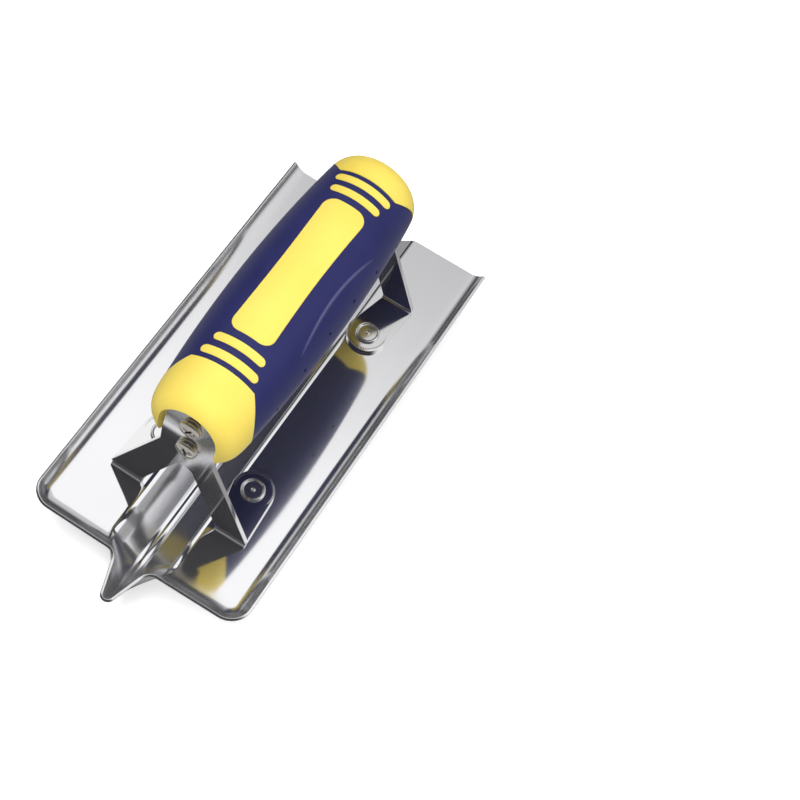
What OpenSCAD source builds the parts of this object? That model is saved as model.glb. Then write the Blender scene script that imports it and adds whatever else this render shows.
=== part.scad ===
// Inside corner trowel: a keeled steel blade, two riveted bracket stands and a two-part grip.
// Frame: +X to the right wing, +Y to the heel, the prow points to -Y and +Z is up.
// Origin: the middle of the bounding box in X and Y, at the height of the keel's underside.

/* [Blade] */
// Length of the blade from the front lip to the heel edge
blade_len = 152; // [120:1:200]
// Width of the blade over its two side curls
blade_w = 76; // [70:1:100]
// Thickness of the blade sheet
sheet_t = 1; // [0.8:0.1:1.4]
// Rise of each wing from the groove out to its curl, in degrees
wing_rise = 1.6; // [0:0.1:3]
// Bend radius of the side curls and the front lip
curl_r = 5.2; // [4:0.1:6.5]
// Angle that the side curls and the front lip turn up through
curl_turn = 62; // [45:1:70]
// Flat left inside the rounded front corners
corner_flat = 2; // [1:0.1:3]

/* [Groove and prow] */
// Depth of the corner groove below the wings
groove_d = 9.5; // [7:0.1:12]
// Slope of the groove's sides in degrees
groove_slope = 45; // [38:1:52]
// Inside radius along the bottom of the groove
groove_bottom_r = 2.5; // [1.5:0.1:3.5]
// Radius of the groove's two shoulders
groove_shoulder_r = 3.5; // [2.5:0.1:5]
// How far the prow reaches ahead of the front lip
prow_len = 14.5; // [10:0.5:20]
// Radius of the prow's tip seen from above
prow_tip_r = 1.6; // [1.2:0.1:2]
// Taper of each side of the prow in degrees
prow_taper = 17; // [10:1:20]
// Radius where the prow runs out into the front lip
prow_root_r = 4.5; // [3:0.1:5]
// Height of the prow's tip above the wings
prow_tip_rise = 2.3; // [1:0.1:3]
// Length over which the keel starts to climb into the prow
prow_start_pull = 11; // [7:0.5:14]
// Length over which the prow's walls straighten towards the rim
prow_end_pull = 6; // [3:0.5:8]

/* [Brackets] */
// Distance between the outer faces of the two brackets
bracket_span = 102.6; // [84:0.2:110]
// Thickness of the bracket sheet
bracket_t = 1.5; // [1.2:0.1:2]
// Width of the tongue that holds the handle
tongue_w = 18.4; // [15:0.2:19]
// Height of the tongue's rounded top above the wings
tongue_h = 61.2; // [55:0.2:62]
// Height above the wings where the legs leave the tongue
leg_root = 35; // [30:0.5:38]
// Height above the wings of the arch between the legs
arch_top = 26.8; // [22:0.2:28]
// Radius at the top of the arch
arch_r = 3.5; // [2:0.1:4.5]
// Distance from the centre plane to the middle of a leg at its fold
leg_x = 18.8; // [17:0.1:21]
// Width of a leg at its fold
leg_w = 11; // [8:0.2:12]
// Inside bend radius between a leg and its foot
fold_r = 0.8; // [0.5:0.1:1.5]
// Radius of the rounded end of a foot
foot_r = 6.8; // [6:0.1:7.5]

/* [Rivets] */
// Distance from the centre plane to a rivet
rivet_x = 16.6; // [16:0.1:20]
// Distance between the front rivets and the rear rivets
rivet_span = 69; // [54:0.5:76]
// Diameter of a rivet's shank and of the holes it fills
rivet_d = 4; // [3:0.1:5]
// Diameter of a rivet's head
rivet_head_d = 7.8; // [6.5:0.1:9]
// Height of a rivet's head
rivet_head_h = 0.9; // [0.6:0.1:1.2]

/* [Handle] */
// Length of the handle
handle_len = 109; // [100:1:124]
// Diameter at the middle of the grip
grip_d = 35.4; // [34:0.2:42]
// Diameter where the grip meets the end caps
grip_end_d = 31.2; // [30.6:0.2:34]
// Length of each rounded end of the handle
cap_len = 11.4; // [8:0.2:13]
// How square the rounded ends are
cap_power = 3.8; // [2.4:0.1:5]
// Height of the handle's axis above the wings
handle_h = 50.3; // [44:0.1:56]
// Diameter of the core inside the soft sleeve
core_d = 26.4; // [26:0.2:27]
// Gap all round a tongue in its pocket
pocket_gap = 0.3; // [0.1:0.1:0.5]

/* [Grip pattern] */
// How far the pattern sits behind the middle of the handle
pattern_shift = 2.5; // [0:0.1:4]
// Length of the long panel
panel_len = 55.2; // [44:0.2:57]
// Width of the long panel
panel_w = 13.6; // [10:0.2:15]
// Corner radius of the long panel
panel_r = 4; // [2:0.1:5]
// Distance between the two inner bars
bar_inner = 63.2; // [62:0.2:64]
// Distance between the two outer bars
bar_outer = 73.2; // [72:0.2:74]
// Width of a bar
bar_w = 2.7; // [2:0.1:3.2]
// Length of an inner bar
bar_inner_len = 16.8; // [12:0.2:18]
// Length of an outer bar
bar_outer_len = 18.8; // [14:0.2:20]
// Length of the soft sleeve along the top
sleeve_top_len = 79.4; // [78:0.2:82]
// Length of the soft sleeve along the flanks
sleeve_flank_len = 92; // [88:0.5:94]
// Height above the axis where the sleeve's ends turn down the flanks
sleeve_turn = 12.2; // [10:0.1:13]

/* [Screws] */
// Height of the upper screw above the handle's axis
screw_up = 1.6; // [0:0.1:2.5]
// Distance between the two screws of a bracket
screw_pitch = 12.6; // [11:0.1:13]
// Diameter of a screw's shank and of the bores it fills
screw_d = 3.2; // [2.8:0.1:3.6]
// Diameter of a screw's head
screw_head_d = 7; // [6:0.1:8]
// Height of a screw's head
screw_head_h = 2; // [1.6:0.1:2.4]
// Length of a screw under its head
screw_len = 16; // [12:0.5:20]

/* [Hidden] */
$fn = 64;
EPS = 0.01;

// Heights and stations that several parts share
mid_y = prow_len / 2;
wing_z = groove_d + sheet_t;
axis_z = wing_z + handle_h;
bottom_run = groove_bottom_r * sin(groove_slope);
bottom_rise = groove_bottom_r * (1 - cos(groove_slope));
shoulder_run = groove_shoulder_r * (sin(groove_slope) - sin(wing_rise));
shoulder_rise = groove_shoulder_r * (cos(wing_rise) - cos(groove_slope));
slope_rise = groove_d - bottom_rise - shoulder_rise;
slope_run = slope_rise / tan(groove_slope);
wing_x = bottom_run + slope_run + shoulder_run;
rim_x = blade_w / 2 - sheet_t * sin(curl_turn);
curl_run = curl_r * sin(curl_turn);
curl_rise = curl_r * (1 - cos(curl_turn));
corner_r = corner_flat + curl_run;
corner_x = rim_x - corner_r;
lip_y = -blade_len / 2 + sheet_t * sin(curl_turn);
corner_y = lip_y + corner_r;
fold_out = fold_r + bracket_t;

// Numbers of steps in the blade's grid
BOTTOM_STEPS = 3;
SLOPE_STEPS = 4;
SHOULDER_STEPS = 4;
GROOVE_STEPS = BOTTOM_STEPS + SLOPE_STEPS + SHOULDER_STEPS;
WING_STEPS = 2;
CURL_STEPS = 8;
CORNER_STEPS = CURL_STEPS + 1;
HALF = GROOVE_STEPS + WING_STEPS + CORNER_STEPS;
COLS = 2 * HALF;
ROWS = CORNER_STEPS + 1;

function lerp(a, b, t) = a + (b - a) * t;
function unit(v) = v / norm(v);

// Height of the wing's plane at a distance x from the centre plane
function wing_plane(x) = (x - wing_x) * tan(wing_rise);

// A point given by its distance x along a wing and its height h square to the wing
function on_wing(x, h) = [
    wing_x + (x - wing_x) * cos(wing_rise) - h * sin(wing_rise),
    wing_z + (x - wing_x) * sin(wing_rise) + h * cos(wing_rise),
];

// Half of the groove's section as [distance out, height, slope], from the bottom to a shoulder
GROOVE = [
    for (i = [0:BOTTOM_STEPS])
        let (a = groove_slope * i / BOTTOM_STEPS)
        [groove_bottom_r * sin(a), -groove_d + groove_bottom_r * (1 - cos(a)), a],
    for (i = [1:SLOPE_STEPS])
        let (t = i / SLOPE_STEPS)
        [bottom_run + slope_run * t, -groove_d + bottom_rise + slope_rise * t, groove_slope],
    for (i = [1:SHOULDER_STEPS])
        let (a = lerp(groove_slope, wing_rise, i / SHOULDER_STEPS))
        [
            wing_x - groove_shoulder_r * (sin(a) - sin(wing_rise)),
            -groove_shoulder_r * (cos(wing_rise) - cos(a)),
            a,
        ],
];

// Stations through a curl as [distance out, height above the wing]
CURL = [
    [0, 0],
    for (i = [0:CURL_STEPS])
        let (a = curl_turn * i / CURL_STEPS)
        [corner_flat + curl_r * sin(a), curl_r * (1 - cos(a))],
];

// Outline of the prow's rim as [distance out, distance behind the tip, turn of its outward side]
ROOT_STEPS = SHOULDER_STEPS - 1;
tip_turn = 90 - prow_taper;
tip_run = prow_tip_r * sin(tip_turn);
tip_len = prow_tip_r * (1 - cos(tip_turn));
flank_len = prow_len - tip_len - prow_root_r * (1 - cos(tip_turn));
flank_run = flank_len * tan(prow_taper);
RIM = [
    for (i = [0:BOTTOM_STEPS])
        let (a = tip_turn * i / BOTTOM_STEPS)
        [prow_tip_r * sin(a), prow_tip_r * (1 - cos(a)), a],
    for (i = [1:SLOPE_STEPS])
        let (t = i / SLOPE_STEPS)
        [tip_run + flank_run * t, tip_len + flank_len * t, tip_turn],
    for (i = [1:ROOT_STEPS])
        let (a = tip_turn * (1 - i / ROOT_STEPS))
        [
            tip_run + flank_run + prow_root_r * (sin(tip_turn) - sin(a)),
            prow_len - prow_root_r * (1 - cos(a)),
            a,
        ],
];

// Point k of a groove column n, from the groove's straight run up to the prow's rim
function prow_point(n, k) =
    let (
        rim = RIM[n],
        t = k / CORNER_STEPS,
        back = rim[1] / prow_len,
        lip_pull = 4 / 3 * tan(curl_turn / 4) * curl_r,
        start_pull = lerp(prow_start_pull, corner_flat + lip_pull, back),
        end_pull = lerp(prow_end_pull, lip_pull, back),
        p0 = [GROOVE[n][0], corner_y, GROOVE[n][1]],
        p3 = [rim[0], lip_y - prow_len + rim[1], lerp(prow_tip_rise, curl_rise, back)],
        way = [sin(rim[2]) * cos(curl_turn), -cos(rim[2]) * cos(curl_turn), sin(curl_turn)],
        p1 = p0 - [0, start_pull, 0],
        p2 = p3 - end_pull * way
    )
    pow(1 - t, 3) * p0 + 3 * t * pow(1 - t, 2) * p1 + 3 * t * t * (1 - t) * p2 + pow(t, 3) * p3;

// Point k of a wing column at a distance x from the centre plane
function lip_point(x, k) = [x, corner_y - CURL[k][0], wing_plane(x) + CURL[k][1]];

// Point (m, k) of the patch that turns the front corner
function corner_point(m, k) =
    let (
        ring = max(m, k),
        turn = ring == 0 ? 0 : (m >= k ? 45 * k / m : 90 - 45 * m / k),
        x = corner_x + CURL[ring][0] * cos(turn)
    )
    [x, corner_y - CURL[ring][0] * sin(turn), wing_plane(x) + CURL[ring][1]];

// Upper surface of the sheet: half column n counts out from the keel, row j counts forward
function half_point(n, j) =
    let (
        k = max(j - 1, 0),
        p = n < GROOVE_STEPS ? prow_point(n, k)
            : n <= GROOVE_STEPS + WING_STEPS
                ? lip_point(lerp(wing_x, corner_x, (n - GROOVE_STEPS) / WING_STEPS), k)
                : corner_point(n - GROOVE_STEPS - WING_STEPS, k)
    )
    j == 0 ? [p[0], blade_len / 2, p[2]] : p;

function sheet_point(i, j) =
    let (n = abs(i - HALF), p = half_point(n, j))
    [sign(i - HALF) * p[0], p[1], p[2]];

// Slope of the straight section at half column n
function section_slope(n) =
    n <= GROOVE_STEPS ? GROOVE[n][2]
    : let (turn = curl_turn * max(n - GROOVE_STEPS - WING_STEPS - 1, 0) / CURL_STEPS)
        atan(tan(wing_rise) + tan(turn));

function clamp(v, top) = min(max(v, 0), top);

// Direction square to the upper surface
function sheet_normal(i, j) =
    j < 2
        ? let (a = sign(i - HALF) * section_slope(abs(i - HALF))) [-sin(a), 0, cos(a)]
        : unit(cross(
            sheet_point(clamp(i + 1, COLS), j) - sheet_point(clamp(i - 1, COLS), j),
            sheet_point(i, j - 1) - sheet_point(i, clamp(j + 1, ROWS))
        ));

// Radius of the handle at a distance y from its middle
barrel_end = handle_len / 2 - cap_len;
function barrel_radius(y) = lerp(grip_d, grip_end_d, pow(y / barrel_end, 2)) / 2;
function cap_factor(s) = pow(1 - pow(s, cap_power), 1 / cap_power);

CAP_STEPS = 8;
BARREL_STEPS = 8;
HANDLE_HALF = [
    for (i = [0:BARREL_STEPS - 1])
        let (y = barrel_end * i / BARREL_STEPS)
        [barrel_radius(y), y],
    for (i = [0:CAP_STEPS])
        let (s = sin(90 * i / CAP_STEPS), y = barrel_end + cap_len * s)
        [i == CAP_STEPS ? 0 : barrel_radius(y) * cap_factor(s), y],
];
HANDLE_TOP = len(HANDLE_HALF) - 1;

// One end of the sleeve seen from the side, as [distance from the middle, height]
SLEEVE_END = [
    for (i = [-6:6])
        let (t = i / 6)
        [lerp(sleeve_flank_len, sleeve_top_len, t * t) / 2, sleeve_turn * t],
];

screw_heights = [screw_up, screw_up - screw_pitch];

module wing_frame(side) {
    translate([0, mid_y, 0])
        mirror([side < 0 ? 1 : 0, 0, 0])
            translate([wing_x, 0, wing_z])
                rotate([0, -wing_rise, 0])
                    children();
}

module handle_frame() {
    translate([0, mid_y, axis_z])
        children();
}

// Turns a shape drawn for the heel end round to the front end
module at_end(end) {
    translate([0, mid_y, 0])
        mirror([0, end < 0 ? 1 : 0, 0])
            translate([0, -mid_y, 0])
                children();
}

module blade() {
    row = COLS + 1;
    under = row * (ROWS + 1);
    upper = [for (j = [0:ROWS]) for (i = [0:COLS]) sheet_point(i, j)];
    lower = [for (j = [0:ROWS]) for (i = [0:COLS]) upper[j * row + i] - sheet_t * sheet_normal(i, j)];
    skin = [
        for (j = [0:ROWS - 1]) for (i = [0:COLS - 1])
            let (a = j * row + i)
            each [[a, a + 1, a + row + 1], [a, a + row + 1, a + row]],
    ];
    ends = [
        for (i = [0:COLS - 1])
            let (b = ROWS * row + i)
            each [
                [i + 1, i, under + i], [i + 1, under + i, under + i + 1],
                [b, b + 1, under + b + 1], [b, under + b + 1, under + b],
            ],
    ];
    sides = [
        for (j = [0:ROWS - 1])
            let (a = j * row, b = a + COLS)
            each [
                [a, a + row, under + a + row], [a, under + a + row, under + a],
                [b + row, b, under + b], [b + row, under + b, under + b + row],
            ],
    ];
    back = [for (f = skin) [under + f[0], under + f[2], under + f[1]]];
    color("silver")
        difference() {
            translate([0, mid_y, wing_z])
                polyhedron(points = concat(upper, lower), faces = concat(skin, back, ends, sides));
            for (side = [-1, 1], end = [-1, 1])
                wing_frame(side)
                    translate([rivet_x - wing_x, end * rivet_span / 2, -2 * sheet_t])
                        cylinder(d = rivet_d, h = 4 * sheet_t);
        }
}

// Middle of the tongue's rounded top
tongue_top = wing_z + tongue_h - tongue_w / 2;

// Points along an arc, from one angle to another
function arc(centre, r, from_a, to_a, steps = 24) =
    [for (i = [0:steps]) let (a = lerp(from_a, to_a, i / steps)) centre + r * [cos(a), sin(a)]];

// Angle, seen from a circle's centre, of the point where a line from p touches the circle
function touch_angle(centre, r, p, way) =
    let (reach = p - centre) atan2(reach[1], reach[0]) + way * acos(r / norm(reach));

// Straight-sided strip with a rounded top, seen from the end of the tool
module round_top(width, bottom) {
    polygon([
        [width / 2, bottom],
        each arc([0, tongue_top], width / 2, 0, 180),
        [-width / 2, bottom],
    ]);
}

// Tongue and legs seen from the end of the tool, down to the folds
module stand_outline() {
    inner = on_wing(leg_x - leg_w / 2, fold_out);
    outer = on_wing(leg_x + leg_w / 2, fold_out);
    centre = [0, wing_z + arch_top - arch_r];
    touch = touch_angle(centre, arch_r, inner, 1);
    root = [tongue_w / 2, wing_z + leg_root];
    polygon([
        inner, outer, root,
        each arc([0, tongue_top], tongue_w / 2, 0, 180),
        [-root[0], root[1]], [-outer[0], outer[1]], [-inner[0], inner[1]],
        each arc(centre, arch_r, 180 - touch, touch),
    ]);
}

// A foot seen square to its wing, from the fold to its rounded end round the rivet
module foot_outline() {
    fold_y = bracket_span / 2 - fold_out;
    inner = [leg_x - leg_w / 2 - wing_x, fold_y];
    outer = [leg_x + leg_w / 2 - wing_x, fold_y];
    tip = [rivet_x - wing_x, rivet_span / 2];
    from_a = touch_angle(tip, foot_r, outer, -1);
    to_a = touch_angle(tip, foot_r, inner, 1);
    difference() {
        polygon([inner, outer, each arc(tip, foot_r, from_a, to_a - 360)]);
        translate(tip)
            circle(d = rivet_d);
    }
}

// Quarter bend between a foot and a leg, let a hair into both of them
module fold() {
    lap = 3;
    translate([leg_x - leg_w / 2 - wing_x + EPS, bracket_span / 2 - fold_out, fold_out])
        rotate([0, 90, 0])
            rotate([0, 0, -lap])
                rotate_extrude(angle = 90 + 2 * lap)
                    translate([fold_r + EPS, 0])
                        square([bracket_t - 2 * EPS, leg_w - 2 * EPS]);
}

module bracket(end) {
    face_y = bracket_span / 2;
    color("gainsboro")
        at_end(end)
            difference() {
                union() {
                    translate([0, mid_y + face_y, 0])
                        rotate([90, 0, 0])
                            linear_extrude(bracket_t)
                                stand_outline();
                    for (side = [-1, 1])
                        wing_frame(side) {
                            linear_extrude(bracket_t)
                                foot_outline();
                            fold();
                        }
                }
                screw_bores(face_y - 2 * bracket_t, face_y + bracket_t);
            }
}

// Bores of the two screws of one end, between two distances from the middle
module screw_bores(from_y, to_y) {
    handle_frame()
        for (h = screw_heights)
            translate([0, from_y, h])
                rotate([-90, 0, 0])
                    cylinder(d = screw_d, h = to_y - from_y);
}

module rivet(side, end) {
    r = rivet_head_d / 2;
    top = bracket_t + rivet_head_h;
    color("lightgray")
        wing_frame(side)
            translate([rivet_x - wing_x, end * rivet_span / 2, 0])
                rotate_extrude()
                    polygon([
                        [0, -sheet_t], [rivet_d / 2, -sheet_t], [rivet_d / 2, bracket_t],
                        [r, bracket_t], [r, top - 0.3], [r - 0.3, top], [r - 0.7, top],
                        [r - 1.3, top - 0.5], [0.9, top - 0.6], [0.5, top - 0.3], [0, top - 0.3],
                    ]);
}

module screw(end, h) {
    r = screw_head_d / 2;
    slot_d = 1.1;
    color("dimgray")
        at_end(end)
            handle_frame()
                translate([0, bracket_span / 2, h])
                    rotate([-90, 0, 0])
                        difference() {
                            rotate_extrude()
                                polygon([
                                    [0, -screw_len], [screw_d / 2, -screw_len + screw_d],
                                    [screw_d / 2, 0], [r, 0],
                                    for (i = [0:4])
                                        let (a = 18 * i + 9)
                                        [r * pow(cos(a), 0.5), screw_head_h * pow(sin(a), 0.6)],
                                    [0, screw_head_h],
                                ]);
                            for (turn = [0, 90])
                                rotate([0, 0, turn + 45])
                                    translate([-screw_head_d / 4, -slot_d / 2, screw_head_h / 3])
                                        cube([screw_head_d / 2, slot_d, screw_head_h]);
                        }
}

module handle_body() {
    handle_frame()
        rotate([-90, 0, 0])
            rotate_extrude()
                polygon([
                    for (i = [-HANDLE_TOP:HANDLE_TOP])
                        let (p = HANDLE_HALF[abs(i)])
                        [p[0], sign(i) * p[1]],
                ]);
}

module bar(y, length) {
    translate([-(length - bar_w) / 2, y - bar_w / 2])
        square([length - bar_w, bar_w]);
    for (side = [-1, 1])
        translate([side * (length - bar_w) / 2, y])
            circle(d = bar_w);
}

module panel() {
    square([panel_w - 2 * panel_r, panel_len], center = true);
    square([panel_w, panel_len - 2 * panel_r], center = true);
    for (x = [-1, 1], y = [-1, 1])
        translate([x * (panel_w / 2 - panel_r), y * (panel_len / 2 - panel_r)])
            circle(r = panel_r);
}

// Everything round the core that the soft sleeve fills, with the raised panel and bars left out
module sleeve_space() {
    far = grip_d;
    handle_frame()
        translate([0, pattern_shift, 0])
            difference() {
                rotate([90, 0, 90])
                    translate([0, 0, -far])
                        linear_extrude(2 * far)
                            polygon([
                                [sleeve_top_len / 2, -far],
                                for (p = SLEEVE_END) p,
                                [sleeve_top_len / 2, far], [-sleeve_top_len / 2, far],
                                for (i = [len(SLEEVE_END) - 1:-1:0]) [-SLEEVE_END[i][0], SLEEVE_END[i][1]],
                                [-sleeve_top_len / 2, -far],
                            ]);
                translate([0, -far - handle_len, 0])
                    rotate([-90, 0, 0])
                        cylinder(d = core_d, h = 2 * (far + handle_len));
                linear_extrude(far) {
                    panel();
                    for (end = [-1, 1]) {
                        bar(end * bar_inner / 2, bar_inner_len);
                        bar(end * bar_outer / 2, bar_outer_len);
                    }
                }
            }
}

// Screw bores at both ends, from the pocket floors inward
module core_bores() {
    floor_y = bracket_span / 2 - bracket_t;
    for (end = [-1, 1])
        at_end(end)
            screw_bores(bracket_span / 2 - screw_len, floor_y + EPS);
}

// Open-bottomed pockets for the two tongues
module pockets() {
    floor_y = bracket_span / 2 - bracket_t;
    for (end = [-1, 1])
        at_end(end)
            translate([0, mid_y + floor_y + handle_len, 0])
                rotate([90, 0, 0])
                    linear_extrude(handle_len)
                        round_top(tongue_w + 2 * pocket_gap, wing_z);
}

module handle_core() {
    color("gold")
        difference() {
            handle_body();
            sleeve_space();
            pockets();
            core_bores();
        }
}

module grip_sleeve() {
    color("midnightblue")
        difference() {
            intersection() {
                handle_body();
                sleeve_space();
            }
            pockets();
            core_bores();
        }
}

blade();
bracket(-1);  // front_bracket
bracket(1);  // rear_bracket
rivet(-1, -1);  // rivet_front_left
rivet(1, -1);  // rivet_front_right
rivet(-1, 1);  // rivet_rear_left
rivet(1, 1);  // rivet_rear_right
handle_core();
grip_sleeve();
screw(-1, screw_heights[0]);  // screw_front_upper
screw(-1, screw_heights[1]);  // screw_front_lower
screw(1, screw_heights[0]);  // screw_rear_upper
screw(1, screw_heights[1]);  // screw_rear_lower
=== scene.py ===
"""Corner trowel: a keeled, mirror-polished blade on two riveted stands with a two-part grip."""

import math

import bpy
from mathutils import Matrix, Vector


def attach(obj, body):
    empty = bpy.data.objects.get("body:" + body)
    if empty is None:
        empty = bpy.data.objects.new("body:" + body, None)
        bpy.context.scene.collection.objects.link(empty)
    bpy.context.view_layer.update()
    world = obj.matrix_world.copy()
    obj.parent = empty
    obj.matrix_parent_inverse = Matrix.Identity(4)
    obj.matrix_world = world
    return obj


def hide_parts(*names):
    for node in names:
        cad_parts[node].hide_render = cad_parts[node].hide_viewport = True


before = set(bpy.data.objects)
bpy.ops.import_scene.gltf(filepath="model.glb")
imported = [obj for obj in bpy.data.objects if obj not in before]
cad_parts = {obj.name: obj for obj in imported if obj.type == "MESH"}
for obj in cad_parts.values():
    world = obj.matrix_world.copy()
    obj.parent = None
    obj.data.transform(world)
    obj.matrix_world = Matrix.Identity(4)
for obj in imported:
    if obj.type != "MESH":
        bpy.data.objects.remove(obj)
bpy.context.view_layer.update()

MM = 0.001
SAME_PLACE = 1e-7  # metres

# ---------------------------------------------------------------- sizes, in millimetres
SHEET = 1.0
WING_RISE = math.radians(1.6)
GROOVE_DEPTH, GROOVE_SLOPE, KEEL_R, SHOULDER_R = 9.5, math.radians(45), 2.5, 3.5
CURL_R, CURL_TURN, CORNER_FLAT = 5.2, math.radians(62), 2.0
BLADE_LEN, BLADE_WIDE = 152.0, 76.0
PROW_LEN, PROW_TIP_R, PROW_TAPER, PROW_ROOT_R, PROW_RISE = 14.5, 1.6, math.radians(17), 4.5, 2.3
KEEL_PULL, TIP_PULL = 11.0, 6.0  # how stiffly the keel's line leaves the groove and reaches the tip
KEEL_GAP = 0.004
MID_Y = PROW_LEN / 2
WING_Z = GROOVE_DEPTH + SHEET

BRACKET_T, TONGUE_W, TONGUE_H = 1.5, 18.4, 61.2
LEG_IN, LEG_OUT, LEG_ROOT, ARCH_R, ARCH_Z = 13.3, 24.3, 35.0, 3.5, 23.3
STAND_Y = 51.3
FOLD_OUT = 0.8 + BRACKET_T
FOOT_R = 6.8
SEAM_GAP = 0.02
RIVET_X, RIVET_Y, RIVET_R = 16.6, 34.5, 2.0

SCREW_UP, SCREW_PITCH = 1.6, 12.6
SHANK_R, THREAD_ROOT_R, THREAD_PITCH, THREAD_LOW, THREAD_HIGH = 1.6, 1.28, 0.9, -12.6, -2.2
SLOT_REACH, SLOT_HALF_W, SLOT_FLOOR, SLOT_TURN = 2.3, 0.42, 0.2, 0.35

AXIS_Z = WING_Z + 50.3
HANDLE_LEN, GRIP_R, GRIP_END_R, CAP_LEN, CAP_POWER = 109.0, 17.7, 15.6, 11.4, 3.8
BARREL_END = HANDLE_LEN / 2 - CAP_LEN
CORE_R = 13.2
PATTERN_SHIFT = 2.5
PATTERN_Y = MID_Y + PATTERN_SHIFT
SLEEVE_REACH, SLEEVE_CORNER_REACH, SLEEVE_CORNER_Z = 46.0, 39.7, 12.2
PANEL_HALF_L, PANEL_HALF_W, PANEL_CORNER_R, PANEL_WAIST = 27.6, 6.95, 3.6, 0.5
BAR_W, BARS = 2.7, ((31.6, 16.8), (36.6, 18.8))  # each bar as (distance from the middle, length)
CORE_INSET, SLEEVE_INSET, ISLAND_GAP, POCKET_GAP = 0.02, 0.16, 0.06, 0.3
CUTTER_REACH = 30.0
DOT_R, DOT_PITCH, DOTS_PER_ROW, ROW_RISE, ROW_BEND = 0.6, 13.7, 6, 6.0, 5.4
CREASE_HALF_L, CREASE_TOP, CREASE_DROP, CREASE_W = 21.0, 12.4, 3.2, 0.34


def mix(a, b, t):
    return a + (b - a) * t


def shift(x, y, z):
    return Matrix.Translation(Vector((x, y, z)) * MM)


UPRIGHT = Matrix.Rotation(math.pi / 2, 4, "X")
FRONT_TO_BACK = Matrix.Diagonal((1, -1, 1, 1))


# ---------------------------------------------------------------- work with one piece at a time
def choose(*pieces):
    bpy.ops.object.select_all(action="DESELECT")
    for piece in pieces:
        piece.select_set(True)
    bpy.context.view_layer.objects.active = pieces[0]


def add(name, primitive, **settings):
    """Adds a primitive with nothing else selected."""
    bpy.ops.object.select_all(action="DESELECT")
    primitive(**settings)
    piece = bpy.context.object
    piece.name = name
    return piece


def discard(piece):
    choose(piece)
    bpy.ops.object.delete()


def edit(piece):
    choose(piece)
    bpy.ops.object.mode_set(mode="EDIT")
    bpy.ops.mesh.select_all(action="SELECT")


def leave_edit():
    bpy.ops.object.mode_set(mode="OBJECT")


def pick_edges(piece, wanted):
    """Enters edit mode with only the edges chosen whose two vertices pass the test."""
    edit(piece)
    bpy.ops.mesh.select_mode(type="EDGE")
    bpy.ops.mesh.select_all(action="DESELECT")
    leave_edit()
    for edge in piece.data.edges:
        edge.select = wanted([piece.data.vertices[v] for v in edge.vertices])
    bpy.ops.object.mode_set(mode="EDIT")


def face_out(piece):
    edit(piece)
    bpy.ops.mesh.normals_make_consistent(inside=False)
    leave_edit()


def close_and_face_out(piece, gap):
    edit(piece)
    bpy.ops.mesh.remove_doubles(threshold=gap * MM)
    leave_edit()
    face_out(piece)


def finish_with(piece, kind, **settings):
    """Adds a modifier with these settings and applies it."""
    choose(piece)
    modifier = piece.modifiers.new(kind.title(), kind)
    for key, value in settings.items():
        setattr(modifier, key, value)
    bpy.ops.object.modifier_apply(modifier=modifier.name)


def soften(piece, width, segments, angle):
    finish_with(
        piece, "BEVEL", width=width * MM, segments=segments, limit_method="ANGLE",
        angle_limit=math.radians(angle), use_clamp_overlap=True,
    )


def smooth(piece, angle, true_flats=True):
    """Smooths the gentle edges; with true_flats the broad faces keep their own direction."""
    choose(piece)
    bpy.ops.object.shade_smooth_by_angle(angle=math.radians(angle))
    if true_flats:
        finish_with(piece, "WEIGHTED_NORMAL", mode="FACE_AREA", weight=50, keep_sharp=True)


def place(piece, matrix):
    """Moves a piece to its place and leaves its object at the origin."""
    choose(piece)
    piece.matrix_world = matrix
    bpy.ops.object.transform_apply(location=True, rotation=True, scale=True)


def joined(name, *pieces):
    choose(*pieces)
    bpy.ops.object.join()
    pieces[0].name = name
    return pieces[0]


def copy_of(name, piece, matrix):
    choose(piece)
    bpy.ops.object.duplicate()
    twin = bpy.context.object
    twin.name = name
    place(twin, matrix)
    if matrix.determinant() < 0:
        face_out(twin)
    return twin


def cut_away(piece, cutter, keep="DIFFERENCE"):
    finish_with(piece, "BOOLEAN", object=cutter, operation=keep, solver="EXACT")
    discard(cutter)


def arc(centre, r, start, end, steps):
    return [
        (centre[0] + r * math.cos(mix(start, end, i / steps)),
         centre[1] + r * math.sin(mix(start, end, i / steps)))
        for i in range(steps + 1)
    ]


def cut_outline(name, points, up=0.0):
    """A flat plate with the outline given by these points, lying in the XY plane."""
    plate = add(
        name, bpy.ops.mesh.primitive_circle_add, vertices=len(points), radius=MM, fill_type="NGON")
    for vertex, (x, y) in zip(plate.data.vertices, points):
        vertex.co = (x * MM, y * MM, up * MM)
    return plate


def thick_outline(name, points, low, high):
    """A prism with this outline between two heights."""
    prism = cut_outline(name, points, low)
    edit(prism)
    bpy.ops.mesh.extrude_region_move(TRANSFORM_OT_translate={"value": (0, 0, (high - low) * MM)})
    leave_edit()
    face_out(prism)
    return prism


def turned(name, profile, steps):
    """A solid turned round Z from a profile of (radius, height), both ends of it on the axis."""
    solid = add(
        name, bpy.ops.mesh.primitive_circle_add, vertices=len(profile), radius=MM,
        fill_type="NOTHING")
    last = len(profile) - 1
    for vertex, (r, h) in zip(solid.data.vertices, profile):
        vertex.co = (r * MM, 0, h * MM)
    pick_edges(solid, lambda ends: {vertex.index for vertex in ends} == {0, last})
    bpy.ops.mesh.delete(type="EDGE")
    bpy.ops.mesh.select_mode(type="VERT")
    bpy.ops.mesh.select_all(action="SELECT")
    bpy.ops.mesh.spin(steps=steps, angle=math.tau, center=(0, 0, 0), axis=(0, 0, 1))
    leave_edit()
    close_and_face_out(solid, 0.002)
    return solid


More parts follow.
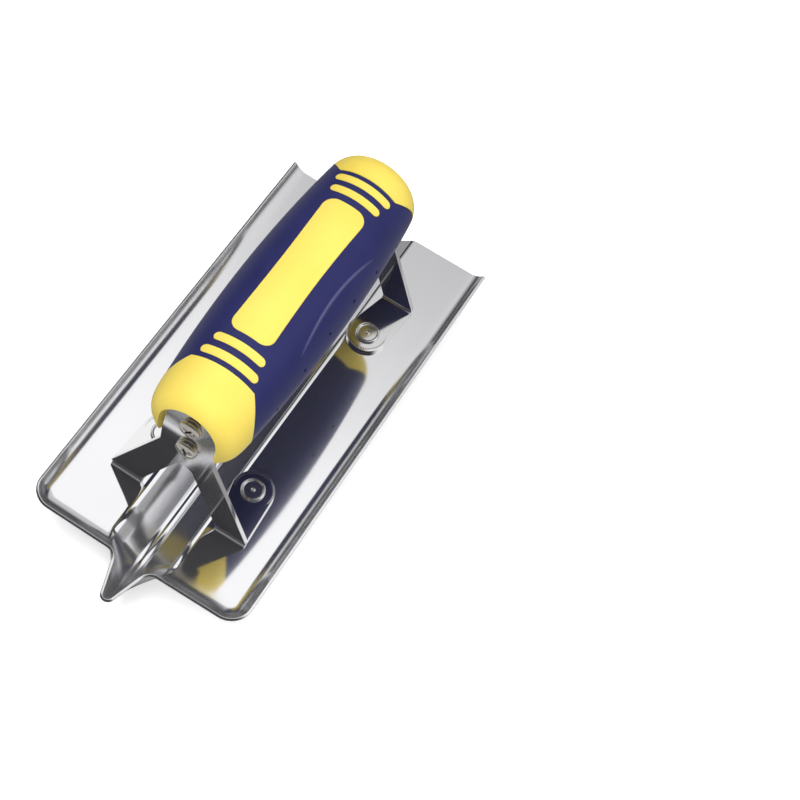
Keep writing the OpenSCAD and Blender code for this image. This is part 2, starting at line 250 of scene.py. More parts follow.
# ---------------------------------------------------------------- the pressed blade
KEEL_STEPS, SLOPE_STEPS, SHOULDER_STEPS, WING_STEPS, CURL_STEPS = 6, 8, 8, 8, 16
GROOVE_STEPS = KEEL_STEPS + SLOPE_STEPS + SHOULDER_STEPS
CORNER_STEPS = CURL_STEPS + 2
HALF = GROOVE_STEPS + WING_STEPS + CORNER_STEPS


def groove_half():
    """Half of the groove's section, from the keel out to the shoulder."""
    points = [
        (KEEL_R * math.sin(a), KEEL_R * (1 - math.cos(a)) - GROOVE_DEPTH)
        for a in (GROOVE_SLOPE * i / KEEL_STEPS for i in range(KEEL_STEPS + 1))
    ]
    rise = (
        GROOVE_DEPTH - KEEL_R * (1 - math.cos(GROOVE_SLOPE))
        - SHOULDER_R * (math.cos(WING_RISE) - math.cos(GROOVE_SLOPE))
    )
    x, z = points[-1]
    for i in range(1, SLOPE_STEPS + 1):
        t = i / SLOPE_STEPS
        points.append((x + rise / math.tan(GROOVE_SLOPE) * t, z + rise * t))
    wing_x = points[-1][0] + SHOULDER_R * (math.sin(GROOVE_SLOPE) - math.sin(WING_RISE))
    for i in range(1, SHOULDER_STEPS + 1):
        a = mix(GROOVE_SLOPE, WING_RISE, i / SHOULDER_STEPS)
        points.append((
            wing_x - SHOULDER_R * (math.sin(a) - math.sin(WING_RISE)),
            -SHOULDER_R * (math.cos(WING_RISE) - math.cos(a)),
        ))
    return points


GROOVE = groove_half()
WING_X = GROOVE[-1][0]
# The curl as (distance out, height), after a short flat; the side curls and the front lip share it.
CURL = [(0.0, 0.0), (CORNER_FLAT / 2, 0.0)] + [
    (CORNER_FLAT + CURL_R * math.sin(a), CURL_R * (1 - math.cos(a)))
    for a in (CURL_TURN * i / CURL_STEPS for i in range(CURL_STEPS + 1))
]
CURL_RISE = CURL[-1][1]
CORNER_X = BLADE_WIDE / 2 - SHEET * math.sin(CURL_TURN) - CURL[-1][0]
LIP_Y = -BLADE_LEN / 2 + SHEET * math.sin(CURL_TURN)
CORNER_Y = LIP_Y + CURL[-1][0]


def prow_rim():
    """Rim of the prow as (distance out, distance behind the tip, turn of its outward side)."""
    turn = math.pi / 2 - PROW_TAPER
    points = [
        (PROW_TIP_R * math.sin(a), PROW_TIP_R * (1 - math.cos(a)), a)
        for a in (turn * i / KEEL_STEPS for i in range(KEEL_STEPS + 1))
    ]
    x, y, _ = points[-1]
    run = PROW_LEN - y - PROW_ROOT_R * (1 - math.cos(turn))
    for i in range(1, SLOPE_STEPS + 1):
        t = i / SLOPE_STEPS
        points.append((x + run * math.tan(PROW_TAPER) * t, y + run * t, turn))
    x = points[-1][0]
    for i in range(1, SHOULDER_STEPS):
        a = turn * (1 - i / (SHOULDER_STEPS - 1))
        points.append((
            x + PROW_ROOT_R * (math.sin(turn) - math.sin(a)),
            PROW_LEN - PROW_ROOT_R * (1 - math.cos(a)), a,
        ))
    return points


RIM = prow_rim()


def wing_height(x):
    return (x - WING_X) * math.tan(WING_RISE)


def prow_point(n, k):
    """Point k of groove column n on its way from the straight groove up to the prow's rim."""
    x, behind, turn = RIM[n]
    t, back = k / CORNER_STEPS, behind / PROW_LEN
    lip_pull = 4 / 3 * math.tan(CURL_TURN / 4) * CURL_R
    start_pull = mix(KEEL_PULL, CORNER_FLAT + lip_pull, back)
    end_pull = mix(TIP_PULL, lip_pull, back)
    start = Vector((GROOVE[n][0], CORNER_Y, GROOVE[n][1]))
    end = Vector((x, LIP_Y - PROW_LEN + behind, mix(PROW_RISE, CURL_RISE, back)))
    way = Vector((
        math.sin(turn) * math.cos(CURL_TURN), -math.cos(turn) * math.cos(CURL_TURN),
        math.sin(CURL_TURN),
    ))
    first, second = start - Vector((0, start_pull, 0)), end - end_pull * way
    return (
        (1 - t) ** 3 * start + 3 * t * (1 - t) ** 2 * first
        + 3 * t * t * (1 - t) * second + t ** 3 * end
    )


def corner_point(m, k):
    """Point of the patch that turns the front corner: m counts outwards and k forwards."""
    ring = max(m, k)
    turn = 0.0
    if ring:
        turn = math.radians(45 * k / m if m >= k else 90 - 45 * m / k)
    out, up = CURL[ring]
    x = CORNER_X + out * math.cos(turn)
    return Vector((x, CORNER_Y - out * math.sin(turn), wing_height(x) + up))


def sheet_point(i, j):
    """Upper surface of the blade: column i counts across from the keel, row j from the heel."""
    n, k = abs(i), max(j - 1, 0)
    if n < GROOVE_STEPS:
        p = prow_point(n, k)
    elif n <= GROOVE_STEPS + WING_STEPS:
        x = mix(WING_X, CORNER_X, (n - GROOVE_STEPS) / WING_STEPS)
        p = Vector((x, CORNER_Y - CURL[k][0], wing_height(x) + CURL[k][1]))
    else:
        p = corner_point(n - GROOVE_STEPS - WING_STEPS, k)
    side = 1 if i >= 0 else -1
    return Vector((side * p.x, BLADE_LEN / 2 if j == 0 else p.y, p.z))


def press_blade():
    rows = CORNER_STEPS + 1
    blade = add(
        "pressed_blade", bpy.ops.mesh.primitive_grid_add, x_subdivisions=2 * HALF,
        y_subdivisions=rows, size=2)
    for vertex in blade.data.vertices:
        i, j = round(vertex.co.x * HALF), round((1 - vertex.co.y) / 2 * rows)
        vertex.co = (sheet_point(i, j) + Vector((0, MID_Y, WING_Z + KEEL_GAP))) * MM
    finish_with(blade, "SOLIDIFY", thickness=SHEET * MM, offset=-1, use_even_offset=True)
    soften(blade, 0.22, 3, 50)
    smooth(blade, 40)
    return blade


# ---------------------------------------------------------------- the bracket stands
def wing_place(side):
    """Frame of a wing: its origin at the groove's shoulder, X out along it, Z square to it."""
    out = shift(WING_X, 0, WING_Z) @ Matrix.Rotation(-WING_RISE, 4, "Y")
    return shift(0, MID_Y, 0) @ Matrix.Diagonal((side, 1, 1, 1)) @ out


def on_wing(x, h):
    """Where a point h above the wing and x out from the keel lies, as (X, Z)."""
    return (
        WING_X + (x - WING_X) * math.cos(WING_RISE) - h * math.sin(WING_RISE),
        WING_Z + (x - WING_X) * math.sin(WING_RISE) + h * math.cos(WING_RISE),
    )


def touch_angle(centre, r, p, way):
    """Angle at which the straight edge from p meets the circle."""
    reach = Vector(p) - Vector(centre)
    return math.atan2(reach.y, reach.x) + way * math.acos(r / reach.length)


def stand_plate():
    """Tongue and legs as one flat plate, upright at the middle of the sheet's thickness."""
    inner, outer = on_wing(LEG_IN, FOLD_OUT), on_wing(LEG_OUT, FOLD_OUT)
    root = (TONGUE_W / 2, WING_Z + LEG_ROOT)
    arch = (0, WING_Z + ARCH_Z)
    touch = touch_angle(arch, ARCH_R, inner, 1)
    points = [inner, outer, root]
    points += arc((0, WING_Z + TONGUE_H - TONGUE_W / 2), TONGUE_W / 2, 0, math.pi, 40)
    points += [(-x, z) for x, z in (root, outer, inner)]
    points += arc(arch, ARCH_R, math.pi - touch, touch, 20)
    plate = cut_outline("stand", points)
    place(plate, shift(0, STAND_Y - BRACKET_T / 2, 0) @ UPRIGHT)
    return plate


def foot_plate(side):
    """One foot and its quarter bend, drawn in its wing's frame."""
    fold_y = STAND_Y - FOLD_OUT
    tip = (RIVET_X - WING_X, RIVET_Y)
    inner, outer = (LEG_IN - WING_X, fold_y), (LEG_OUT - WING_X, fold_y)
    start = touch_angle(tip, FOOT_R, outer, -1)
    end = touch_angle(tip, FOOT_R, inner, 1) - math.tau
    foot = cut_outline("foot", [inner, outer] + arc(tip, FOOT_R, start, end, 40), BRACKET_T / 2)
    pick_edges(foot, lambda ends: all(abs(v.co.y - fold_y * MM) < SAME_PLACE for v in ends))
    bpy.ops.mesh.spin(
        steps=8, angle=-math.pi / 2, center=(0, fold_y * MM, FOLD_OUT * MM), axis=(1, 0, 0))
    bpy.ops.mesh.select_mode(type="VERT")
    leave_edit()
    place(foot, shift(0, -MID_Y, 0) @ wing_place(side))
    return foot


def bend_bracket():
    """The rear bracket, about the middle of the blade."""
    bracket = joined("bracket", stand_plate(), foot_plate(1), foot_plate(-1))
    close_and_face_out(bracket, SEAM_GAP)
    finish_with(bracket, "SOLIDIFY", thickness=BRACKET_T * MM, offset=0, use_even_offset=True)
    close_and_face_out(bracket, 0.0005)
    soften(bracket, 0.16, 2, 50)
    smooth(bracket, 40)
    return bracket


# ---------------------------------------------------------------- rivets and screws
def head_rivet():
    """Rivet with a rolled rim, a flat dish and a pitted nib, its tail just proud of the sheet."""
    tail = [
        (0, -SHEET - 0.06), (1.85, -SHEET - 0.06), (RIVET_R, -SHEET + 0.1), (RIVET_R, BRACKET_T)]
    rim = [
        (3.6, 0), (3.78, 0.05), (3.88, 0.2), (3.9, 0.4), (3.86, 0.6), (3.76, 0.76), (3.6, 0.86),
        (3.45, 0.88), (3.32, 0.84), (3.22, 0.72), (3.16, 0.58), (3.08, 0.47), (2.98, 0.42)]
    dish = [(2.86, 0.4), (2.8, 0.4), (2.0, 0.4), (1.3, 0.4), (0.82, 0.4)]
    nib = [
        (0.76, 0.4), (0.68, 0.42), (0.6, 0.48), (0.54, 0.58), (0.44, 0.66), (0.32, 0.66),
        (0.22, 0.56), (0.1, 0.48), (0, 0.47)]
    head = [(r, BRACKET_T + h) for r, h in rim + dish + nib]
    return turned("rivet", tail + head, 72)


def pan_screw():
    """Pan-head screw with a cross recess; its head starts at height 0, its thread runs below."""
    profile = [(0, -16), (0.5, -15), (SHANK_R, -12.8)]
    h = THREAD_LOW
    while h < THREAD_HIGH:
        profile += [
            (SHANK_R, h), (THREAD_ROOT_R, h + 0.28), (THREAD_ROOT_R, h + 0.52), (SHANK_R, h + 0.8)]
        h += THREAD_PITCH
    profile += [
        (SHANK_R, -1.6), (SHANK_R, 0), (3.3, 0), (3.45, 0.1), (3.5, 0.25), (3.5, 0.9),
        (3.47, 1.15), (3.38, 1.38), (3.22, 1.57), (3.0, 1.72), (2.7, 1.82), (2.3, 1.89),
        (1.8, 1.94), (1.2, 1.98), (0.6, 2.0), (0, 2.0)]
    screw = turned("screw", profile, 48)
    x, y = SLOT_REACH, SLOT_HALF_W
    for turn in (0, math.pi / 2):
        slot = thick_outline("slot", [(-x, -y), (x, -y), (x, y), (-x, y)], SLOT_FLOOR, 3)
        for vertex in slot.data.vertices:
            if vertex.co.z < 1 * MM:
                vertex.co.x *= 0.5
                vertex.co.y *= 0.8
        place(slot, Matrix.Rotation(turn + SLOT_TURN, 4, "Z"))
        cut_away(screw, slot)
    soften(screw, 0.07, 2, 40)
    smooth(screw, 35, False)
    return screw


# ---------------------------------------------------------------- the handle
BARREL_STEPS, CAP_STEPS, HANDLE_STEPS = 28, 18, 96
HANDLE_PLACE = shift(0, MID_Y, AXIS_Z) @ Matrix.Rotation(-math.pi / 2, 4, "X")


def barrel_radius(y):
    return mix(GRIP_R, GRIP_END_R, (y / BARREL_END) ** 2)


def handle_profile(inset):
    half = [
        (barrel_radius(y), y) for y in (BARREL_END * i / BARREL_STEPS for i in range(BARREL_STEPS))]
    for i in range(CAP_STEPS + 1):
        s = math.sin(math.pi / 2 * i / CAP_STEPS)
        y = BARREL_END + CAP_LEN * s
        squeeze = max(0.0, 1 - s ** CAP_POWER) ** (1 / CAP_POWER)
        half.append((barrel_radius(y) * squeeze, y))
    half[-1] = (0.0, half[-1][1])
    half = [(max(0.0, r - inset), y) for r, y in half]
    return [(r, -y) for r, y in reversed(half)] + half[1:]


def along_handle(name, profile):
    body = turned(name, profile, HANDLE_STEPS)
    place(body, HANDLE_PLACE)
    return body


def core_rod(r):
    return along_handle("rod", [(0, -60), (r, -60), (r, 60), (0, 60)])


def sleeve_space(shrink):
    """Cutter for the stretch that the soft sleeve covers, drawn in side view as (Y, Z)."""
    steps, far = 12, 25.0
    end = [
        (mix(SLEEVE_REACH, SLEEVE_CORNER_REACH, (i / steps) ** 2) - shrink,
         SLEEVE_CORNER_Z * i / steps)
        for i in range(-steps, steps + 1)
    ]
    right = [(end[0][0], -far)] + end + [(end[-1][0], far)]
    side_view = right + [(-y, z) for y, z in reversed(right)]
    space = thick_outline("space", side_view, -CUTTER_REACH, CUTTER_REACH)
    across = Matrix(((0, 0, 1, 0), (1, 0, 0, 0), (0, 1, 0, 0), (0, 0, 0, 1)))
    place(space, shift(0, PATTERN_Y, AXIS_Z) @ across)
    return space


def rounded_bar(y, length, width):
    r = width / 2
    return arc((length / 2 - r, y), r, -math.pi / 2, math.pi / 2, 12) + arc(
        (r - length / 2, y), r, math.pi / 2, 3 * math.pi / 2, 12)


def waisted_panel(grow):
    """Outline of the long top panel: a little slimmer in the middle, with round corners."""
    r = PANEL_CORNER_R + grow
    half_w, straight = PANEL_HALF_W + grow, PANEL_HALF_L + grow - r
    points = []
    for x, y, start in ((1, 1, 0), (-1, 1, 90), (-1, -1, 180), (1, -1, 270)):
        corner = (x * (half_w - r), y * straight)
        points += arc(corner, r, math.radians(start), math.radians(start + 90), 10)
        if x * y < 0:
            for i in range(1, 12):
                waist = PANEL_WAIST * math.sin(math.pi * i / 12)
                points.append((x * (half_w - waist), y * straight * (1 - i / 6)))
    return points


def islands(grow):
    """The raised panel and the four bars as tall cutters, grown all round."""
    outlines = [("panel", waisted_panel(grow))]
    for end in (-1, 1):
        for y, length in BARS:
            outlines.append(("bar", rounded_bar(end * y, length + 2 * grow, BAR_W + 2 * grow)))
    cutter = joined("islands", *[
        thick_outline(name, points, 0, CUTTER_REACH) for name, points in outlines])
    place(cutter, shift(0, PATTERN_Y, AXIS_Z))
    return cutter


def pocket():
    """Open-bottomed pocket for one tongue, at the rear end."""
    w, bottom, deep = TONGUE_W / 2 + POCKET_GAP, 20, 30
    top = WING_Z + TONGUE_H - TONGUE_W / 2
    outline = [(w, bottom)] + arc((0, top), w, 0, math.pi, 32) + [(-w, bottom)]
    hollow = thick_outline("pocket", outline, 0, deep)
    place(hollow, shift(0, MID_Y + STAND_Y - BRACKET_T + deep, 0) @ UPRIGHT)
    return hollow


def mould_core():
    core = along_handle("core", handle_profile(CORE_INSET))
    space = sleeve_space(0.0)
    cut_away(space, core_rod(CORE_R))
    cut_away(space, islands(0.0))
    cut_away(core, space)
    rear = pocket()
    front = copy_of("front_pocket", rear, shift(0, 2 * MID_Y, 0) @ FRONT_TO_BACK)
    cut_away(core, rear)
    cut_away(core, front)
    soften(core, 0.3, 3, 35)
    smooth(core, 50)
    return core


def vent_dots():
    """Small blind holes in two rows along each flank; the upper row arches more than the lower."""
    dots = []
    for side in (-1, 1):
        for way, bend in ((-1, 0.4 * ROW_BEND), (1, ROW_BEND)):
            for n in range(DOTS_PER_ROW):
                y = (n - (DOTS_PER_ROW - 1) / 2) * DOT_PITCH
                h = way * (ROW_RISE - bend * (y / 34.2) ** 2)
                r = barrel_radius(y + PATTERN_SHIFT) - 0.15
                x = math.sqrt(r * r - h * h)
                dot = add(
                    "dot", bpy.ops.mesh.primitive_ico_sphere_add, subdivisions=2,
                    radius=DOT_R * MM)
                inward = Matrix.Rotation(-side * math.atan2(h, x), 4, "Y")
                place(dot, shift(side * x, PATTERN_Y + y, AXIS_Z + h) @ inward
                      @ Matrix.Diagonal((2.6, 1, 1, 1)))
                dots.append(dot)
    return joined("dots", *dots)


def mould_sleeve():
    sleeve = along_handle("sleeve", handle_profile(SLEEVE_INSET))
    cut_away(sleeve, sleeve_space(SLEEVE_INSET), "INTERSECT")
    cut_away(sleeve, core_rod(CORE_R + 0.02))
    cut_away(sleeve, islands(ISLAND_GAP))
    soften(sleeve, 0.28, 3, 40)
    cut_away(sleeve, vent_dots())
    smooth(sleeve, 50)
    return sleeve


# ---------------------------------------------------------------- finishes
class Recipe:
    """The nodes of one finish, or of the sky, with a short way to add each kind that repeats."""

    def __init__(self, tree, place_kind="Object"):
        self.nodes, self.links = tree.nodes, tree.links
        self.where = self.nodes.new("ShaderNodeTexCoord").outputs[place_kind]

    def apart(self):
        split = self.nodes.new("ShaderNodeSeparateXYZ")
        self.links.new(self.where, split.inputs["Vector"])
        return split.outputs

    def noise(self, scale, detail, stretch=None):
        vector = self.where
        if stretch:
            mapping = self.nodes.new("ShaderNodeMapping")
            mapping.inputs["Scale"].default_value = stretch
            self.links.new(vector, mapping.inputs["Vector"])
            vector = mapping.outputs["Vector"]
        texture = self.nodes.new("ShaderNodeTexNoise")
        texture.inputs["Scale"].default_value = scale
        texture.inputs["Detail"].default_value = detail
        self.links.new(vector, texture.inputs["Vector"])
        return texture.outputs["Fac"]

    def ramp(self, value, *stops):
        spread = self.nodes.new("ShaderNodeValToRGB")
        for element, (at, colour) in zip(spread.color_ramp.elements, stops):
            element.position = at
            element.color = (*(colour if isinstance(colour, tuple) else (colour,) * 3), 1)
        self.links.new(value, spread.inputs["Fac"])
        return spread.outputs["Color"]

    def bump(self, height, distance, strength, under=None):
        relief = self.nodes.new("ShaderNodeBump")
        relief.inputs["Strength"].default_value = strength
        relief.inputs["Distance"].default_value = distance * MM
        self.links.new(height, relief.inputs["Height"])
        if under is not None:
            self.links.new(under, relief.inputs["Normal"])
        return relief.outputs["Normal"]

    def maths(self, operation, *values):
        node = self.nodes.new("ShaderNodeMath")
        node.operation = operation
        for slot, value in zip(node.inputs, values):
            if isinstance(value, (int, float)):
                slot.default_value = value
            else:
                self.links.new(value, slot)
        return node.outputs[0]

    def rising(self, value, start, end, low=0.0, high=1.0):
        """Soft step from low to high as the value goes from start to end."""
        step = self.nodes.new("ShaderNodeMapRange")
        step.interpolation_type = "SMOOTHSTEP"
        self.links.new(value, step.inputs["Value"])
        for slot, number in (
                ("From Min", start), ("From Max", end), ("To Min", low), ("To Max", high)):
            step.inputs[slot].default_value = number
        return step.outputs["Result"]

    def off(self, value, centre):
        """How far a coordinate is from a place given in millimetres, without its sign."""
        return self.maths("ABSOLUTE", self.maths("SUBTRACT", value, centre * MM))

    def reach(self, u, v):
        """Distance out from the two distances across."""
        return self.maths("SQRT", self.maths(
            "ADD", self.maths("MULTIPLY", u, u), self.maths("MULTIPLY", v, v)))

    def hump(self, value):
        """1 where the value is 0, falling smoothly to 0 on both sides."""
        return self.maths(
            "POWER", 2.718, self.maths("MULTIPLY", self.maths("MULTIPLY", value, value), -1.0))


def new_finish(name):
    finish = bpy.data.materials.new(name)
    finish.use_nodes = True
    return finish, Recipe(finish.node_tree), finish.node_tree.nodes["Principled BSDF"]


def stamped_marks(recipe, apart):
    """Ring of fine radial marks left by the punch round the outer half of each rivet."""
    u = recipe.maths("SUBTRACT", recipe.maths("ABSOLUTE", apart["X"]), RIVET_X * MM)
    v = recipe.maths("SUBTRACT", recipe.off(apart["Y"], MID_Y), RIVET_Y * MM)
    off_ring = recipe.maths("SUBTRACT", recipe.reach(u, v), 6.05 * MM)
    ring = recipe.hump(recipe.maths("MULTIPLY", off_ring, 1 / (0.24 * MM)))
    ticks = recipe.maths("SINE", recipe.maths("MULTIPLY", recipe.maths("ARCTAN2", v, u), 44.0))
    ring = recipe.maths("MULTIPLY", ring, recipe.rising(v, 2.5 * MM, -0.5 * MM))
    return recipe.maths("MULTIPLY", ring, recipe.maths("GREATER_THAN", ticks, 0.1))


def painted_recess_shade(recipe, apart):
    """Where a screw's painted shade lies: 1 down in the cross recess, 0 on the head."""
    v = recipe.maths(
        "SUBTRACT", recipe.off(apart["Z"], AXIS_Z + SCREW_UP - SCREW_PITCH / 2),
        SCREW_PITCH / 2 * MM)
    deep = recipe.rising(
        recipe.off(apart["Y"], MID_Y), (STAND_Y + 1.86) * MM, (STAND_Y + 1.45) * MM)
    near = recipe.rising(recipe.reach(apart["X"], v), 2.95 * MM, 2.6 * MM)
    return recipe.maths("MULTIPLY", deep, near)


def pressed_edges(recipe, apart):
    """Extra roughness of the curls, the front lip and the groove, which the press has dulled."""
    wide = recipe.maths("ABSOLUTE", apart["X"])
    lip_y = CORNER_Y + MID_Y
    curl = recipe.rising(wide, (CORNER_X + 0.5) * MM, (CORNER_X + 4.5) * MM, 0.0, 0.17)
    lip = recipe.rising(apart["Y"], (lip_y - 5) * MM, (lip_y + 2) * MM, 0.17, 0.0)
    groove = recipe.rising(apart["Z"], (WING_Z - 1.5) * MM, (WING_Z - 0.2) * MM, 0.07, 0.0)
    return recipe.maths("MAXIMUM", recipe.maths("MAXIMUM", curl, lip), groove)


def polished_steel(name, colour, dull_range, metal, streak,
                   pressed=False, stamped=False, shaded_recess=False):
    """Mirror-polished metal with faint polishing lines and hazy patches."""
    finish, recipe, shader = new_finish(name)
    shader.inputs["Metallic"].default_value = metal
    haze = recipe.noise(22, 4)
    lines = recipe.noise(40, 2, streak)
    tint = recipe.ramp(haze, (0.3, tuple(c * 0.96 for c in colour)), (0.7, colour))
    dull = recipe.ramp(haze, (0.35, dull_range[0]), (0.75, dull_range[1]))
    relief = recipe.bump(lines, 0.004, 0.05)
    apart = recipe.apart()
    # On a screw the cross recess is painted near black, a painted shade, and is made rougher.
    if shaded_recess:
        recess_shade = painted_recess_shade(recipe, apart)
        shaded_tint = recipe.nodes.new("ShaderNodeVectorMath")
        shaded_tint.operation = "SCALE"
        recipe.links.new(tint, shaded_tint.inputs["Vector"])
        recipe.links.new(recipe.maths("MULTIPLY_ADD", recess_shade, -0.93, 1.0), shaded_tint.inputs["Scale"])
        tint = shaded_tint.outputs["Vector"]
        dull = recipe.maths("MULTIPLY_ADD", recess_shade, 0.5, dull)
    if pressed:
        dull = recipe.maths("ADD", dull, pressed_edges(recipe, apart))
    if stamped:
        relief = recipe.bump(stamped_marks(recipe, apart), 0.05, 1.0, relief)
    recipe.links.new(tint, shader.inputs["Base Color"])
    recipe.links.new(dull, shader.inputs["Roughness"])
    recipe.links.new(relief, shader.inputs["Normal"])
    return finish


def yellow_plastic():
    """Moulded matte plastic, a shade deeper and glossier in soft patches."""
    finish, recipe, shader = new_finish("yellow_plastic_look")
    patches = recipe.noise(60, 3)
    colour = recipe.ramp(patches, (0.3, (0.88, 0.675, 0.105)), (0.7, (0.93, 0.725, 0.135)))
    matte = recipe.ramp(patches, (0.3, 0.40), (0.7, 0.52))
    recipe.links.new(colour, shader.inputs["Base Color"])
    recipe.links.new(matte, shader.inputs["Roughness"])
    recipe.links.new(recipe.bump(recipe.noise(2600, 2), 0.03, 0.25), shader.inputs["Normal"])
    shader.inputs["Subsurface Weight"].default_value = 0.06
    shader.inputs["Subsurface Radius"].default_value = (0.004, 0.002, 0.0005)
    shader.inputs["Subsurface Scale"].default_value = 0.4
    return finish


def flank_crease(recipe):
    """Height of the moulded crease that arches along the right flank, from 0 to 1."""
    apart = recipe.apart()
    along = recipe.maths("MULTIPLY", recipe.maths(
        "SUBTRACT", apart["Y"], PATTERN_Y * MM), 1 / (CREASE_HALF_L * MM))
    bow = recipe.maths("POWER", recipe.maths("ABSOLUTE", along), 2.0)
    above = recipe.maths("MULTIPLY", recipe.maths(
        "SUBTRACT", apart["Z"], (AXIS_Z + CREASE_TOP) * MM), 1 / MM)
    above = recipe.maths("ADD", above, recipe.maths("MULTIPLY", bow, CREASE_DROP))
    ridge = recipe.hump(recipe.maths("DIVIDE", above, CREASE_W))
    fade = recipe.maths("SUBTRACT", 1.0, recipe.maths("POWER", bow, 2.0))
    fade = recipe.maths("MAXIMUM", fade, 0.0)
    fade = recipe.maths("MULTIPLY", fade, recipe.maths("GREATER_THAN", apart["X"], 0.0))
    return recipe.maths("MULTIPLY", ridge, fade)


def navy_rubber():
    """Soft grip with a fine grain and a moulded crease, which is painted paler as a painted
    highlight and is smoother.
    """
    finish, recipe, shader = new_finish("navy_rubber_look")
    patches = recipe.noise(90, 4)
    colour = recipe.ramp(patches, (0.3, (0.012, 0.014, 0.090)), (0.75, (0.018, 0.020, 0.112)))
    crease = flank_crease(recipe)
    # The crease is mixed towards a pale lilac: a painted highlight along its ridge.
    painted_crease_highlight = recipe.nodes.new("ShaderNodeMix")
    painted_crease_highlight.data_type = "RGBA"
    painted_crease_highlight.inputs["B"].default_value = (0.13, 0.13, 0.27, 1)
    recipe.links.new(recipe.maths("MULTIPLY", crease, 0.75), painted_crease_highlight.inputs["Factor"])
    recipe.links.new(colour, painted_crease_highlight.inputs["A"])
    matte = recipe.ramp(patches, (0.3, 0.42), (0.7, 0.52))
    matte = recipe.maths("SUBTRACT", matte, recipe.maths("MULTIPLY", crease, 0.15))
    grain = recipe.bump(recipe.noise(2200, 3), 0.05, 0.35)
    recipe.links.new(painted_crease_highlight.outputs["Result"], shader.inputs["Base Color"])
    recipe.links.new(matte, shader.inputs["Roughness"])
    recipe.links.new(recipe.bump(crease, 0.3, 1.0, grain), shader.inputs["Normal"])
    shader.inputs["Specular IOR Level"].default_value = 0.35
    shader.inputs["Sheen Weight"].default_value = 0.06
    shader.inputs["Sheen Roughness"].default_value = 0.45
    return finish


def wear(piece, finish):
    piece.data.materials.clear()
    piece.data.materials.append(finish)


# ---------------------------------------------------------------- putting the tool together
ALONG_BLADE, UP_BRACKET, ALL_WAYS = (60, 1.5, 60), (60, 60, 2), (30, 30, 30)
BLADE_STEEL = polished_steel(
    "blade_steel_look", (0.83, 0.83, 0.845), (0.04, 0.085), 0.966, ALONG_BLADE, pressed=True)
BRACKET_STEEL = polished_steel(
    "bracket_steel_look", (0.78, 0.78, 0.785), (0.05, 0.10), 0.99, UP_BRACKET, stamped=True)
RIVET_STEEL = polished_steel(
    "rivet_steel_look", (0.80, 0.80, 0.80), (0.06, 0.12), 0.97, ALL_WAYS)
# The screws carry a painted shade down in their cross recess.
SCREW_NICKEL = polished_steel(
    "screw_nickel_look", (0.92, 0.88, 0.80), (0.05, 0.11), 0.93, ALL_WAYS, shaded_recess=True)


def fit(piece, node, name, finish):
    piece.name = name
    wear(piece, finish)
    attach(piece, "root")
    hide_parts(node)


fit(press_blade(), "blade", "pressed_blade", BLADE_STEEL)

bracket = bend_bracket()
rear = copy_of("rear_stand", bracket, shift(0, MID_Y, 0))
front = copy_of("front_stand", bracket, shift(0, MID_Y, 0) @ FRONT_TO_BACK)
discard(bracket)
for stand in (rear, front):
    smooth(stand, 40)
fit(rear, "rear_bracket", "rear_stand", BRACKET_STEEL)
fit(front, "front_bracket", "front_stand", BRACKET_STEEL)

rivet = head_rivet()
smooth(rivet, 50, False)
for end, end_name in ((-1, "front"), (1, "rear")):
    for side, side_name in ((-1, "left"), (1, "right")):
        spot = wing_place(side) @ shift(RIVET_X - WING_X, end * RIVET_Y, 0)
        node = f"rivet_{end_name}_{side_name}"
        fit(copy_of("rivet", rivet, spot), node, node + "_head", RIVET_STEEL)
discard(rivet)

screw = pan_screw()
for end, end_name in ((-1, "front"), (1, "rear")):
    out = Matrix.Rotation(-end * math.pi / 2, 4, "X")
    for up, up_name, twist in (
            (SCREW_UP, "upper", 0.0), (SCREW_UP - SCREW_PITCH, "lower", 0.9)):
        spot = shift(0, MID_Y + end * STAND_Y, AXIS_Z + up) @ out
        one = copy_of("screw", screw, spot @ Matrix.Rotation(twist + end, 4, "Z"))
        node = f"screw_{end_name}_{up_name}"
        fit(one, node, node + "_pan", SCREW_NICKEL)
discard(screw)

fit(mould_core(), "handle_core", "moulded_core", yellow_plastic())
fit(mould_sleeve(), "grip_sleeve", "moulded_sleeve", navy_rubber())


# ---------------------------------------------------------------- floor, light and camera
def only_for_camera(piece):
    """The piece is seen by the camera and neither lights nor shades the tool."""
    piece.visible_diffuse = piece.visible_glossy = piece.visible_shadow = False


def pale_floor():
    floor = add("floor", bpy.ops.mesh.primitive_plane_add, size=12, location=(0, 0, -0.0002))
    finish, recipe, shader = new_finish("floor_paper")
    shade = recipe.ramp(recipe.noise(3, 2), (0.3, 0.86), (0.7, 0.88))
    recipe.links.new(shade, shader.inputs["Base Color"])
    shader.inputs["Roughness"].default_value = 0.9
    shader.inputs["Specular IOR Level"].default_value = 0.1
    shader.inputs["Emission Color"].default_value = (1, 1, 1, 1)
    shader.inputs["Emission Strength"].default_value = 0.45
    wear(floor, finish)
    only_for_camera(floor)


def pale_backdrop():
    """Pale dome far behind everything."""
    dome = add(
        "backdrop", bpy.ops.mesh.primitive_uv_sphere_add, segments=48, ring_count=24, radius=5)
    bpy.ops.object.shade_smooth()
    finish, recipe, shader = new_finish("backdrop_paper")
    shade = recipe.ramp(recipe.noise(0.4, 1), (0.3, 0.84), (0.7, 0.88))
    recipe.links.new(shade, shader.inputs["Emission Color"])
    shader.inputs["Emission Strength"].default_value = 1.0
    shader.inputs["Base Color"].default_value = (0, 0, 0, 1)
    shader.inputs["Specular IOR Level"].default_value = 0
    wear(dome, finish)
    only_for_camera(dome)


def grey_card():
    """Grey card just under the floor: what undersides and mirror finishes see instead of it."""
    card = add("grey_card", bpy.ops.mesh.primitive_plane_add, size=8, location=(0, 0, -0.0006))
    finish, recipe, shader = new_finish("card_paper")
    shade = recipe.ramp(recipe.noise(6, 2), (0.3, 0.28), (0.7, 0.32))
    recipe.links.new(shade, shader.inputs["Base Color"])
    shader.inputs["Roughness"].default_value = 0.9
    wear(card, finish)
    card.visible_camera = False


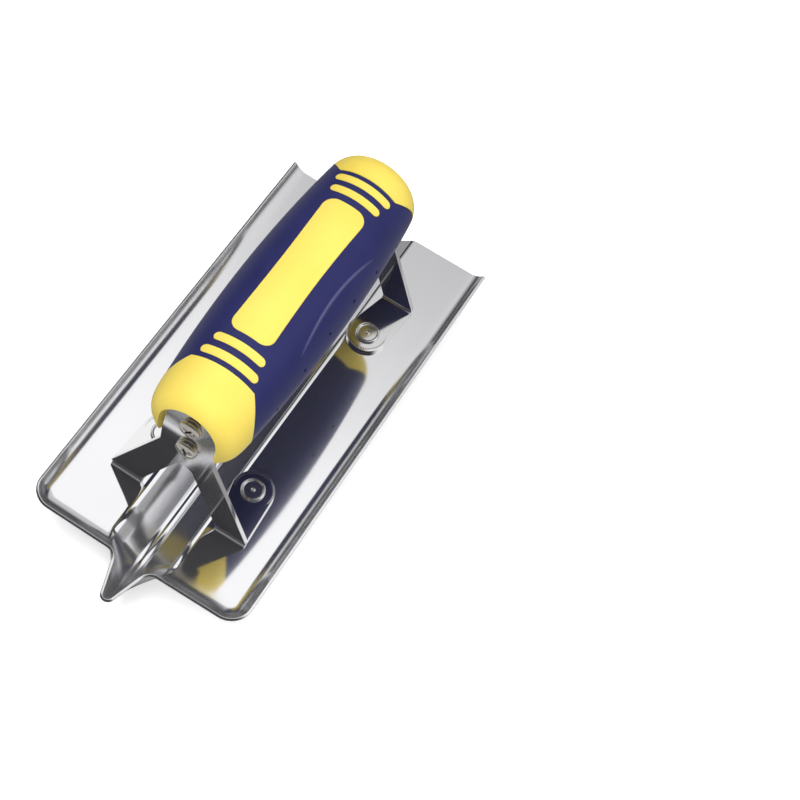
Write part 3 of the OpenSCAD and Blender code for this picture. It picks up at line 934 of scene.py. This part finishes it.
def studio_sky():
    """White tent overhead and behind, dark towards the front and near the horizon."""
    world = bpy.data.worlds.new("studio")
    bpy.context.scene.world = world
    world.use_nodes = True
    sky = Recipe(world.node_tree, "Generated")
    apart = sky.apart()
    side_on = sky.maths("MAXIMUM", apart["X"], 0.0)
    height = sky.maths("ADD", apart["Z"], sky.maths("MULTIPLY", side_on, 0.2))
    overhead = sky.rising(height, 0.22, 0.62)
    behind = sky.rising(apart["Y"], -0.22, 0.12)
    far_behind = sky.rising(apart["Y"], 0.40, 0.56, 1.0, 0.55)
    tent = sky.maths("MULTIPLY", sky.maths("MULTIPLY", overhead, behind), far_behind)
    low_front = sky.maths(
        "MULTIPLY", sky.rising(apart["Z"], 0.45, 0.2),
        sky.rising(apart["Y"], -0.1, -0.45, 0.0, 0.22))
    tone = sky.ramp(
        sky.maths("MAXIMUM", tent, low_front), (0.0, (0.018, 0.018, 0.022)), (1.0, (1.0, 1.0, 1.0)))
    backdrop = sky.nodes["Background"]
    sky.links.new(tone, backdrop.inputs["Color"])
    backdrop.inputs["Strength"].default_value = 1.15


def soft_light(name, spot, size, power):
    """A round lamp aimed at the tool; mirror finishes do not show it."""
    data = bpy.data.lights.new(name, "AREA")
    data.shape = "DISK"
    data.size = size
    data.energy = power
    light = bpy.data.objects.new(name, data)
    bpy.context.scene.collection.objects.link(light)
    light.location = spot
    aim = Vector((0, 0, 0.03))
    light.rotation_euler = (aim - Vector(spot)).to_track_quat("-Z", "Y").to_euler()
    light.visible_glossy = light.visible_camera = False


def set_camera():
    data = bpy.data.cameras.new("camera")
    data.lens = 84.68
    data.sensor_width = 36
    data.clip_start, data.clip_end = 0.01, 20
    camera = bpy.data.objects.new("camera", data)
    bpy.context.scene.collection.objects.link(camera)
    camera.location = (0.09935, -0.26602, 0.53445)
    camera.rotation_euler = [math.radians(a) for a in (28.090, -10.438, 30.613)]
    bpy.context.scene.camera = camera
    bpy.context.scene.view_settings.view_transform = "Standard"


pale_floor()
pale_backdrop()
grey_card()
studio_sky()
soft_light("top_fill", (-0.25, -0.15, 0.9), 0.7, 5.5)
soft_light("front_fill", (0.35, -0.9, 0.55), 0.6, 5.0)
soft_light("side_fill", (0.9, 0.3, 0.5), 0.6, 3.0)
set_camera()
